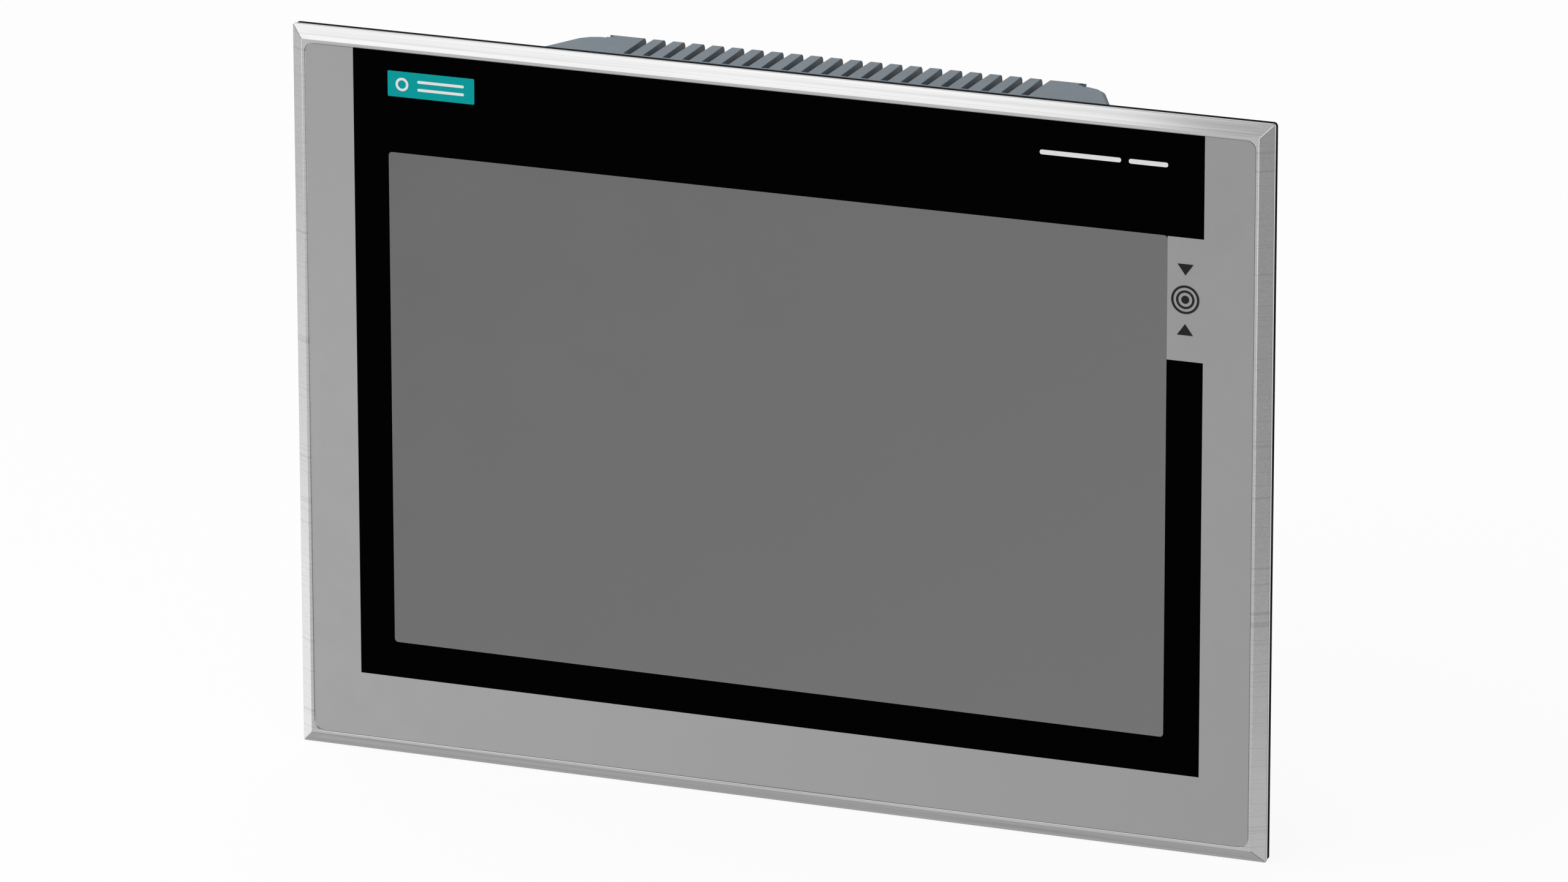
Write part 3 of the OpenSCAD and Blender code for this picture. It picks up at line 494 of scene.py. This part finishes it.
def sheet_white():
    f = Finish("sheet_white", grey(0.82), 0.5)
    grain = f.noise(0.3 * MM)
    f.tint(f.between(grain, 0.0, 1.0), grey(0.76), grey(0.86))
    f.set("Roughness", f.between(grain, 0.42, 0.6))
    f.relief(grain, 0.02 * MM, 0.4)
    return f.material


def lamp_strip():
    """Strip of small lamps, each a yellow square on white board."""
    f = Finish("lamp_strip", grey(0.8), 0.4)
    along = f.maths("SINE", f.maths("MULTIPLY", f.axis("X"), 2 * math.pi / (6 * MM)))
    speck = f.noise(0.4 * MM)
    f.tint(f.between(along, 0.0, 1.0, 0.55, 0.6), grey(0.78), (0.85, 0.62, 0.10))
    f.set("Roughness", f.between(speck, 0.32, 0.5))
    f.relief(along, 0.1 * MM, 0.4)
    return f.material


def rolled_metal(name, level, rough, streak_axis=0, warmth=0.0, depth=0.01):
    """Rolled or drawn metal with faint streaks along one axis."""
    f = Finish(name, grey(level, warmth), rough, 1.0)
    stretch = [1, 1, 1]
    stretch[streak_axis] = 60
    streaks = f.noise(0.12 * MM, stretch, 3.0)
    cloud = f.noise(7 * MM, detail=4.0, shift=4.0)
    base = f.blend(f.between(cloud, 0.0, 1.0), grey(level * 0.88, warmth), grey(level * 1.05, warmth))
    f.tint(f.between(streaks, 0.0, 0.6), base, grey(level * 0.92, warmth))
    f.set("Roughness", f.maths("ADD", f.between(streaks, rough - 0.06, rough + 0.06),
                               f.between(cloud, -0.03, 0.05)))
    f.relief(streaks, depth * MM, 0.4)
    return f.material


def turned_brass():
    f = Finish("brass", (0.72, 0.52, 0.22), 0.28, 1.0)
    rings = f.noise(0.18 * MM, detail=2.0)
    cloud = f.noise(3 * MM, detail=4.0)
    f.tint(f.between(cloud, 0.0, 1.0), (0.62, 0.43, 0.17), (0.80, 0.60, 0.28))
    f.set("Roughness", f.between(rings, 0.2, 0.36))
    f.relief(rings, 0.012 * MM, 0.4)
    return f.material


def zinc_screw():
    """Bright zinc plating with a faint blue and yellow cast."""
    f = Finish("zinc_screw", grey(0.72), 0.3, 1.0)
    cast = f.noise(1.6 * MM, detail=3.0)
    scratch = f.noise(0.1 * MM, (6, 1, 1), 2.0, shift=2.0)
    f.tint(f.between(cast, 0.0, 1.0), (0.66, 0.69, 0.72), (0.78, 0.76, 0.68))
    f.set("Roughness", f.between(scratch, 0.24, 0.38))
    f.relief(scratch, 0.01 * MM, 0.5)
    return f.material


def plastic(name, colour, rough, mottle=0.12, depth=0.02, size=0.18):
    """Moulded plastic with a fine spark-eroded texture."""
    f = Finish(name, colour, rough, 0.0, Specular_IOR_Level=0.45)
    grain = f.noise(size * MM, detail=3.0)
    cloud = f.noise(6 * MM, detail=3.0, shift=6.0)
    low = tuple(c * (1 - mottle) for c in colour)
    high = tuple(min(c * (1 + mottle), 1.0) for c in colour)
    base = f.blend(f.between(cloud, 0.0, 1.0), colour, high)
    f.tint(f.between(grain, 0.0, 1.0), low, base)
    f.set("Roughness", f.between(grain, rough - 0.08, rough + 0.08))
    f.relief(grain, depth * MM, 0.6)
    return f.material


def powder_coat(name, colour, rough=0.5, slots=None):
    """Fine-structured powder coat on sheet metal or a casting, with painted shade that darkens the slots
    that run down from its top. slots is (half their row's width, their front, their back, their foot, the
    top)."""
    f = Finish(name, colour, rough, 0.0, Specular_IOR_Level=0.4)
    peel = f.noise(0.55 * MM, detail=3.0, rough=0.6)
    speck = f.cells(0.3 * MM)
    cloud = f.noise(26 * MM, detail=3.0, shift=9.0)
    dark = tuple(c * 0.93 for c in colour)
    light = tuple(c * 1.06 for c in colour)
    base = f.blend(f.between(cloud, 0.0, 1.0), dark, light)
    if slots:
        # painted shade: the slot walls darken towards 0.28 of the coat's colour deeper below the top, as if
        # in shadow
        half, front, back, foot, top = slots
        side = f.between(f.maths("ABSOLUTE", f.axis("X")), 1.0, 0.0, half, half + 0.1 * MM)
        inner = f.between(f.axis("Y"), 0.0, 1.0, front, front + 0.1 * MM)
        outer = f.between(f.axis("Y"), 1.0, 0.0, back - 1.2 * MM, back - 0.1 * MM, smooth=True)
        deep = f.between(f.axis("Z"), 1.0, 0.0, top - 5.0 * MM, top - 0.15 * MM)
        above = f.between(f.axis("Z"), 0.0, 1.0, foot - 0.3 * MM, foot - 0.1 * MM)
        slot_shade = f.maths("MULTIPLY", f.maths("MULTIPLY", side, inner), f.maths("MULTIPLY", outer, deep))
        slot_shade = f.maths("MULTIPLY", slot_shade, above)
        base = f.blend(slot_shade, base, tuple(c * 0.28 for c in colour))
    f.tint(f.between(speck, 0.5, 0.0, 0.02, 0.3), base, tuple(c * 1.18 for c in colour))
    f.set("Roughness", f.between(peel, rough - 0.08, rough + 0.1))
    f.relief(peel, 0.035 * MM, 0.6)
    f.relief(speck, 0.012 * MM, 0.4)
    return f.material


def plate_silver():
    """Blank rating plate: satin foil with fine lengthwise brushing."""
    f = Finish("plate_silver", grey(0.72), 0.38, 0.85)
    streaks = f.noise(0.14 * MM, (90, 1, 1), 2.0)
    f.tint(f.between(streaks, 0.0, 1.0), grey(0.66), grey(0.78))
    f.set("Roughness", f.between(streaks, 0.32, 0.44))
    f.relief(streaks, 0.008 * MM, 0.4)
    return f.material


# The finned cover's slots, where its coat is painted darker as shade: half their row's width, their front,
# their back, their foot, the top
COVER_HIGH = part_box("rear_cover")[1]
COOLING_SLOTS = (69.4 * MM, 38.6 * MM, COVER_HIGH.y, 15 * MM, COVER_HIGH.z)

FINISHES = {
    "front_aluminium": front_aluminium,
    "gasket_rubber": gasket_rubber,
    "foil_silver": foil_silver,
    "foil_black": foil_black,
    "film_grey": film_grey,
    "badge_teal": badge_teal,
    "print_white": lambda: ink("print_white", 0.9),
    "print_black": lambda: ink("print_black", 0.01),
    "sensor_glass": lambda: clear_sheet("sensor_glass", (0.80, 0.88, 0.87), 0.05, 0.85),
    "flex_amber": flex_amber,
    "board_green": board_green,
    "foam_black": foam_black,
    "lcd_glass": lcd_glass,
    "sheet_white": sheet_white,
    "guide_acrylic": lambda: clear_sheet("guide_acrylic", (0.93, 0.96, 0.97), 0.12, 0.7),
    "lamp_strip": lamp_strip,
    "sheet_metal": lambda: rolled_metal("sheet_metal", 0.62, 0.34, 0),
    "brass": turned_brass,
    "zinc_screw": zinc_screw,
    "chip_black": lambda: plastic("chip_black", grey(0.03), 0.5, 0.25, 0.03),
    "pad_pink": lambda: plastic("pad_pink", (0.55, 0.36, 0.42), 0.75, 0.08, 0.05, 0.4),
    "raw_aluminium": lambda: rolled_metal("raw_aluminium", 0.74, 0.33, 0),
    "coil_grey": lambda: plastic("coil_grey", grey(0.12), 0.6, 0.2, 0.05, 0.3),
    "can_aluminium": lambda: rolled_metal("can_aluminium", 0.78, 0.25, 1),
    "black_plastic": lambda: plastic("black_plastic", grey(0.022), 0.5),
    "steel_bright": lambda: rolled_metal("steel_bright", 0.68, 0.26, 0, 0.01),
    "tinned_metal": lambda: rolled_metal("tinned_metal", 0.74, 0.26, 2),
    "gold_wire": lambda: rolled_metal("gold_wire", 0.75, 0.22, 2, 0.3),
    "green_plastic": lambda: plastic("green_plastic", (0.03, 0.24, 0.09), 0.42),
    "pale_plastic": lambda: plastic("pale_plastic", grey(0.62, 0.04), 0.45),
    "dark_plastic": lambda: plastic("dark_plastic", grey(0.06), 0.48),
    "tray_grey": lambda: powder_coat("tray_grey", (0.235, 0.265, 0.29)),
    "cover_grey": lambda: powder_coat("cover_grey", (0.259, 0.310, 0.356), 0.5, COOLING_SLOTS),
    "plate_silver": plate_silver,
}

# How wide the broken edges of a piece are, in millimetres
EDGE = {
    "front_bezel": 0.20, "panel_gasket": 0.08, "rear_tray": 0.25, "rear_cover": 0.15,
    "decor_foil": 0.04, "black_mask": 0.03, "touch_film": 0.03, "corner_badge": 0.03,
    "rating_plate": 0.04, "tray_screws": 0.12, "cover_screws": 0.12, "bonding_nut": 0.25,
    "bonding_washer": 0.12, "bonding_stud": 0.25, "card_lock": 0.2, "lock_rivets": 0.2,
    "network_shells": 0.08, "usb_shells": 0.08, "serial_shell": 0.1, "serial_insert": 0.15,
    "serial_screwlocks": 0.15, "audio_jack": 0.2, "power_header": 0.2, "network_inserts": 0.1,
    "usb_tongues": 0.1, "mini_usb_port": 0.08, "card_readers": 0.1,
}

# Machined edges, which are flat chamfers instead of roundings
CHAMFERED = ("front_bezel",)

# Pieces whose short edges don't hold back the width of the others
FREELY_ROUNDED = ("rear_tray",)


def break_edges(obj, width):
    """Joins the split corners of a CAD mesh, then rounds or chamfers its sharp edges a little."""
    crisp = obj.name in CHAMFERED
    weld = obj.modifiers.new("join", "WELD")
    weld.merge_threshold = 0.000002
    flat = obj.modifiers.new("flatten", "DECIMATE")
    flat.decimate_type = "DISSOLVE"
    flat.angle_limit = math.radians(0.4)
    bevel = obj.modifiers.new("edges", "BEVEL")
    bevel.width = width * MM
    bevel.segments = 1 if crisp else 2
    bevel.limit_method = "ANGLE"
    bevel.angle_limit = math.radians(32)
    bevel.use_clamp_overlap = obj.name not in FREELY_ROUNDED
    if crisp:
        obj.data.shade_flat()
        return
    obj.data.shade_smooth()
    even = obj.modifiers.new("even", "WEIGHTED_NORMAL")
    even.mode = "FACE_AREA"
    even.weight = 100


def finish_cad_nodes():
    made = {}
    for part in frame["record"]["subparts"]:
        node, slot = part["node"], part["material_slot"]
        if slot not in made:
            made[slot] = FINISHES[slot]()
        obj = frame["nodes"][node]
        obj.data.materials.clear()
        obj.data.materials.append(made[slot])
        for polygon in obj.data.polygons:
            polygon.material_index = 0
        if node in EDGE:
            break_edges(obj, EDGE[node])
    return made


# ---------- small pieces ----------

def add_piece(name, shape, body, slot, made):
    """Turns a finished bmesh into a piece that rides on a body."""
    mesh = bpy.data.meshes.new(name)
    bmesh.ops.recalc_face_normals(shape, faces=shape.faces)
    shape.to_mesh(mesh)
    shape.free()
    piece = place(name, mesh)
    mesh.materials.append(made[slot])
    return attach(piece, body)


def add_stud_thread(made):
    """The rolled thread behind the bonding nut: one helical ridge that fades in and out."""
    stud_low, stud_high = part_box("bonding_stud")
    nut_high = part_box("bonding_nut")[1]
    middle = (stud_low + stud_high) / 2
    radius, crest, pitch, steps = 2.0 * MM, 2.16 * MM, 0.7 * MM, 36
    sunk, foot_half, tip_half = 0.06 * MM, 0.31, 0.05
    start, end = nut_high.y + 0.1 * MM, stud_high.y - 0.5 * MM
    count = int((end - start) / pitch * steps)
    shape = bmesh.new()
    rows = []
    for i in range(count + 1):
        angle = 2 * math.pi * i / steps
        fade = min(1.0, i / steps, (count - i) / steps)
        foot, tip = radius - sunk, radius + (crest - radius) * fade
        row = []
        for r, along in ((foot, -foot_half), (tip, -tip_half), (tip, tip_half), (foot, foot_half)):
            y = start + pitch * (i / steps + along) + foot_half * pitch
            row.append(shape.verts.new((middle.x + r * math.cos(angle), y,
                                        middle.z + r * math.sin(angle))))
        rows.append(row)
    for a, b in zip(rows, rows[1:]):
        for k in range(4):
            shape.faces.new((a[k], a[(k + 1) % 4], b[(k + 1) % 4], b[k]))
    shape.faces.new(rows[0])
    shape.faces.new(reversed(rows[-1]))
    add_piece("bonding_stud_thread", shape, "root", "steel_bright", made)


def add_bar(shape, x0, x1, z0, z1, back, height):
    """A raised printed bar on a face that looks backwards, with its outer edges drawn in and its foot
    sunk a little into the face."""
    draw = min(0.06 * MM, (x1 - x0) / 4, (z1 - z0) / 4)
    sunk = 0.02 * MM
    foot = [(x0, z0), (x1, z0), (x1, z1), (x0, z1)]
    head = [(x0 + draw, z0 + draw), (x1 - draw, z0 + draw), (x1 - draw, z1 - draw), (x0 + draw, z1 - draw)]
    low = [shape.verts.new((x, back - sunk, z)) for x, z in foot]
    top = [shape.verts.new((x, back + height, z)) for x, z in head]
    shape.faces.new(top)
    shape.faces.new(reversed(low))
    for k in range(4):
        shape.faces.new((low[k], low[(k + 1) % 4], top[(k + 1) % 4], top[k]))


def add_plate_print(made):
    """The rating plate's blank form: a frame, ruled lines and an empty field, with nothing filled in."""
    low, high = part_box("rating_plate")
    shape = bmesh.new()
    margin, line, height = 3 * MM, 0.3 * MM, 0.04 * MM
    left, right = low.x + margin, high.x - margin
    foot, head = low.z + margin, high.z - margin

    def level(z, x0, x1):
        add_bar(shape, x0, x1, z - line / 2, z + line / 2, high.y, height)

    def upright(x, z0, z1):
        add_bar(shape, x - line / 2, x + line / 2, z0, z1, high.y, height)

    def frame_lines(x0, x1, z0, z1):
        for z in (z0, z1):
            level(z, x0, x1)
        for x in (x0, x1):
            upright(x, z0 + line / 2, z1 - line / 2)

    frame_lines(left, right, foot, head)
    field, inset = 10 * MM, 2.5 * MM
    frame_lines(right - inset - field, right - inset, foot + inset, foot + inset + field)
    rows = [head - k * (head - foot) / 6 for k in range(1, 6)]
    for z in rows:
        beside_field = z < foot + 2 * field
        level(z, left + line / 2, right - line / 2 - (field + 2 * inset if beside_field else 0))
    split = left + 0.36 * (right - left)
    upright(split, rows[-1] + line / 2, rows[0] - line / 2)
    add_piece("rating_plate_print", shape, "root", "print_black", made)


bpy.context.scene.view_settings.view_transform = "Standard"
add_camera()
add_world()
add_floor()
add_lights()
finishes = finish_cad_nodes()
add_stud_thread(finishes)
add_plate_print(finishes)
